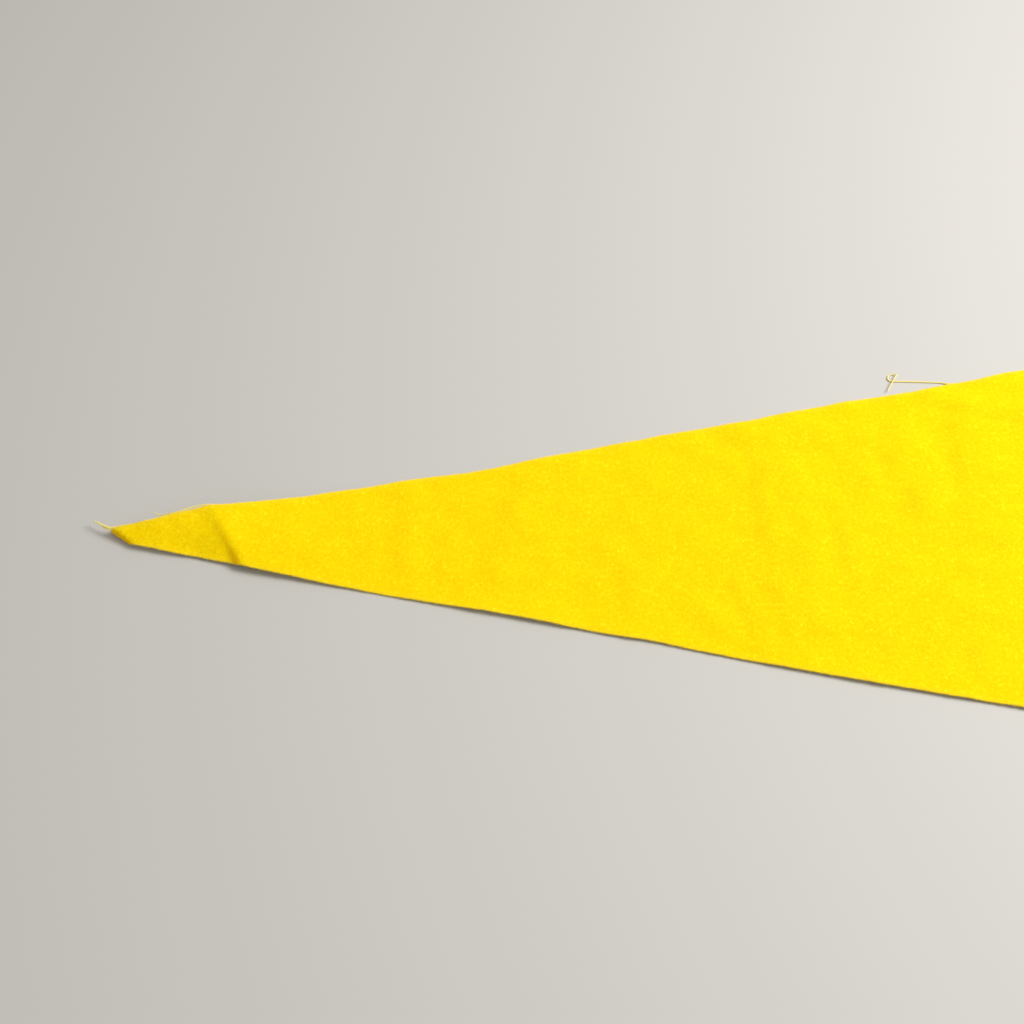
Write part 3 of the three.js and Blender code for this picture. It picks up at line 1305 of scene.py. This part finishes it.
@dataclass
class FrayedYarns:
    """The three yarns that have frayed out of the far cut, with the stray fibres along them."""

    cloth: LyingCloth
    raw_yarn: CottonFibre
    step: float = 0.12
    stray: FibreGrowth = FibreGrowth(2.5, 0.4, 0.035, lean=50, spread=180, sunk=-0.01)
    stray_seed: int = 41
    clear_of_surface: float = 0.35

    def _beside(self, station: float, out: float, up: float) -> tuple[float, float, float]:
        """Gives a place beside the far cut, measured from the point.

        Args:
            station: Where its slanting line crosses the middle of the cloth.
            out: How far it is outside the cut.
            up: How far it is above the middle of the cloth's thickness.

        Returns:
            Its place along, across and above the surface.
        """
        x, y, z = (float(c) for c in self.cloth.middle(np.array([station]), np.ones(1))[0])
        return x + self.cloth.origin_along, y + out, z + up

    def _routes(self) -> list[LooseYarn]:
        """Lists the yarns with their routes.

        Returns:
            The yarns at the tip, at the crease and at the far edge.
        """
        return [
            LooseYarn(
                "yarn_at_tip",
                "frayed_yarn_tip",
                [
                    self._beside(21.0, -0.3, -0.1),
                    (15.9, 3.5, 3.5),
                    (14.7, 3.3, 3.4),
                    (12.8, 2.9, 3.3),
                    (10.8, 2.8, 3.1),
                    (9.5, 2.7, 2.9),
                    (8.4, 3.1, 2.85),
                    (7.4, 3.7, 2.8),
                    (6.3, 4.2, 2.8),
                    (5.2, 4.9, 2.7),
                    (4.0, 5.6, 2.6),
                ],
                0.85,
                split_ply=[
                    (12.4, 2.7, 3.0),
                    (10.1, 2.6, 2.8),
                    (8.8, 2.6, 2.6),
                    (7.7, 3.1, 2.5),
                    (6.9, 3.5, 2.45),
                ],
            ),
            LooseYarn(
                "yarn_at_crease",
                "frayed_yarn_crease",
                [
                    self._beside(49.0, -0.2, 0.0),
                    self._beside(47.0, 0.1, 0.25),
                    self._beside(45.5, 0.3, 0.35),
                    self._beside(42.0, 0.6, 0.45),
                    self._beside(38.5, 0.35, 0.2),
                    self._beside(35.0, 0.25, 0.05),
                    (26.2, 6.6, 4.4),
                    (24.3, 6.9, 4.2),
                    (23.4, 7.8, 4.4),
                ],
                0.55,
            ),
            LooseYarn(
                "yarn_at_far_edge",
                "frayed_yarn_far_edge",
                [
                    (292.8, 62.3, 0.5),
                    (289.8, 62.4, 0.45),
                    (288.0, 63.1, 0.3),
                    (283.2, 63.3, 0.29),
                    (276.0, 63.6, 0.29),
                    (271.4, 63.7, 0.29),
                    (270.0, 64.0, 0.29),
                    (269.7, 65.5, 0.3),
                    (271.2, 66.9, 0.4),
                    (273.6, 66.8, 0.75),
                    (272.2, 64.9, 1.0),
                    (271.0, 62.8, 1.02),
                    (270.0, 61.0, 0.95),
                    (268.8, 58.9, 0.95),
                ],
                0.5,
            ),
        ]

    def _twist(self, yarn: LooseYarn, recipe: NodeRecipe, material: bpy.types.Material) -> bpy.types.Object:
        """Twists one yarn along its route.

        Args:
            yarn: The yarn.
            recipe: The tree that makes two plies of a curve.
            material: The raw yarn's material.

        Returns:
            The yarn's piece.
        """
        curve = bpy.data.curves.new(yarn.name, "CURVE")
        curve.dimensions = "3D"
        for places in (yarn.places, yarn.split_ply):
            if not places:
                continue
            spline = curve.splines.new("NURBS")
            spline.points.add(len(places) - 1)
            for point, (x, y, z) in zip(spline.points, places):
                point.co = ((x - self.cloth.origin_along) * MM, y * MM, z * MM, 1.0)
            spline.order_u = 3
            spline.use_endpoint_u = True
            spline.resolution_u = 12
        route = bpy.data.objects.new(f"{yarn.name}_route", curve)
        bpy.context.scene.collection.objects.link(route)
        sizes = {
            "Yarn Thickness": yarn.thickness * MM,
            "Twist Pitch": yarn.pitch * MM,
            "Step": self.step * MM,
            "Material": material,
        }
        piece = recipe.run(route, yarn.name, sizes)
        bpy.data.objects.remove(route)
        piece.data.polygons.foreach_set("use_smooth", np.ones(len(piece.data.polygons), bool))
        return piece

    def _strays(
        self,
        piece: bpy.types.Object,
        recipe: NodeRecipe,
        material: bpy.types.Material,
    ) -> bpy.types.Object:
        """Grows the short fibres that stand off a yarn, clear of the surface that it lies on.

        Args:
            piece: The yarn.
            recipe: The tree that sets bent fibres on a surface.
            material: The raw yarn's material.

        Returns:
            The fibres, as one piece.
        """
        mesh = piece.data
        places = np.zeros(len(mesh.vertices) * 3, np.float32)
        mesh.vertices.foreach_get("co", places)
        grows = (places[2::3] > self.clear_of_surface * MM).astype(np.float32)
        mesh.attributes.new("stray", "FLOAT", "POINT").data.foreach_set("value", grows)
        sizes = self.stray.sizes("stray", self.stray_seed, material)
        return recipe.run(piece, f"{piece.name}_fibres", sizes)

    def build(self) -> None:
        twisted = yarn_recipe()
        fibres = fibre_recipe(FibreForm.FRINGE)
        material = self.raw_yarn.material("raw_yarn")
        for yarn in self._routes():
            piece = self._twist(yarn, twisted, material)
            strays = self._strays(piece, fibres, material)
            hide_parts(yarn.replaces)
            for part in (piece, strays):
                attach(part, BODY)
                report(part)


# The studio


@dataclass
class Studio:
    """A pale floor, soft light from the right and the camera, in metres."""

    aim: tuple[float, float, float] = (-0.0774, 0.0099, 0.0)
    distance: float = 0.4636
    elevation: float = math.radians(55.5)
    turn: float = math.radians(-0.45)
    lens: float = 50.0
    key_energy: float = 11.5
    key_size: float = 0.44
    key_distance: float = 1.0
    key_elevation: float = math.radians(42)
    key_bearing: float = math.radians(8)
    sky: float = 0.5
    floor_colour: str = "#bfbcb6"
    floor_half: float = 3.0

    def build(self) -> None:
        """Builds the floor, the light and the camera."""
        self._floor()
        self._light()
        self._camera()
        bpy.context.scene.view_settings.view_transform = "Standard"

    def _floor(self) -> None:
        """Lays a plain pale board under the cloth."""
        mesh = bpy.data.meshes.new("floor")
        half = self.floor_half
        mesh.from_pydata(
            [(-half, -half, 0), (half, -half, 0), (half, half, 0), (-half, half, 0)],
            [],
            [(0, 1, 2, 3)],
        )
        floor = bpy.data.objects.new("floor", mesh)
        bpy.context.scene.collection.objects.link(floor)
        material = bpy.data.materials.new("pale_floor")
        material.use_nodes = True
        shader = material.node_tree.nodes["Principled BSDF"]
        shader.inputs["Base Color"].default_value = linear(self.floor_colour)
        shader.inputs["Roughness"].default_value = 0.9
        shader.inputs["Specular IOR Level"].default_value = 0.2
        mesh.materials.append(material)

    def _light(self) -> None:
        """Sets an even sky and one broad lamp to the right, a little behind the cloth."""
        world = bpy.data.worlds.new("sky")
        bpy.context.scene.world = world
        world.use_nodes = True
        background = world.node_tree.nodes["Background"]
        background.inputs["Color"].default_value = linear("#ffffff")
        background.inputs["Strength"].default_value = self.sky
        lamp = bpy.data.lights.new("key", "AREA")
        lamp.energy = self.key_energy
        lamp.size = self.key_size
        key = bpy.data.objects.new("key", lamp)
        way = Vector(
            (
                math.cos(self.key_elevation) * math.cos(self.key_bearing),
                math.cos(self.key_elevation) * math.sin(self.key_bearing),
                math.sin(self.key_elevation),
            )
        )
        key.location = Vector(self.aim) + way * self.key_distance
        key.rotation_euler = way.to_track_quat("Z", "Y").to_euler()
        bpy.context.scene.collection.objects.link(key)

    def _camera(self) -> None:
        """Sets the camera at the photograph's angle."""
        data = bpy.data.cameras.new("camera")
        data.lens = self.lens
        data.sensor_width = 36.0
        data.clip_start = 0.01
        camera = bpy.data.objects.new("camera", data)
        turn = Euler((math.pi / 2 - self.elevation, 0.0, self.turn))
        away = turn.to_matrix() @ Vector((0, 0, self.distance))
        camera.location = Vector(self.aim) + away
        camera.rotation_euler = turn
        bpy.context.scene.collection.objects.link(camera)
        bpy.context.scene.camera = camera


def main() -> None:
    """Builds the pennant and its studio, and attaches every piece of the pennant to its body."""
    logging.basicConfig(level=logging.INFO, format="%(name)s %(message)s")
    cloth = LyingCloth()
    Studio().build()
    sheet = FlannelSheet(cloth, Flannel())
    sheet.build()
    face_fibre = CottonFibre("#f7d906", "#fce618")
    cut_fibre = CottonFibre("#fde640", "#fff48c")
    nap = Nap(sheet, face_fibre, cut_fibre).build()
    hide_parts("pennant_cloth")
    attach(sheet.piece, BODY)
    report(sheet.piece)
    for piece in nap:
        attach(piece, BODY)
        report(piece)
    FrayedYarns(cloth, CottonFibre("#f6e070", "#fdf0a0")).build()


if __name__ == "__main__":
    main()
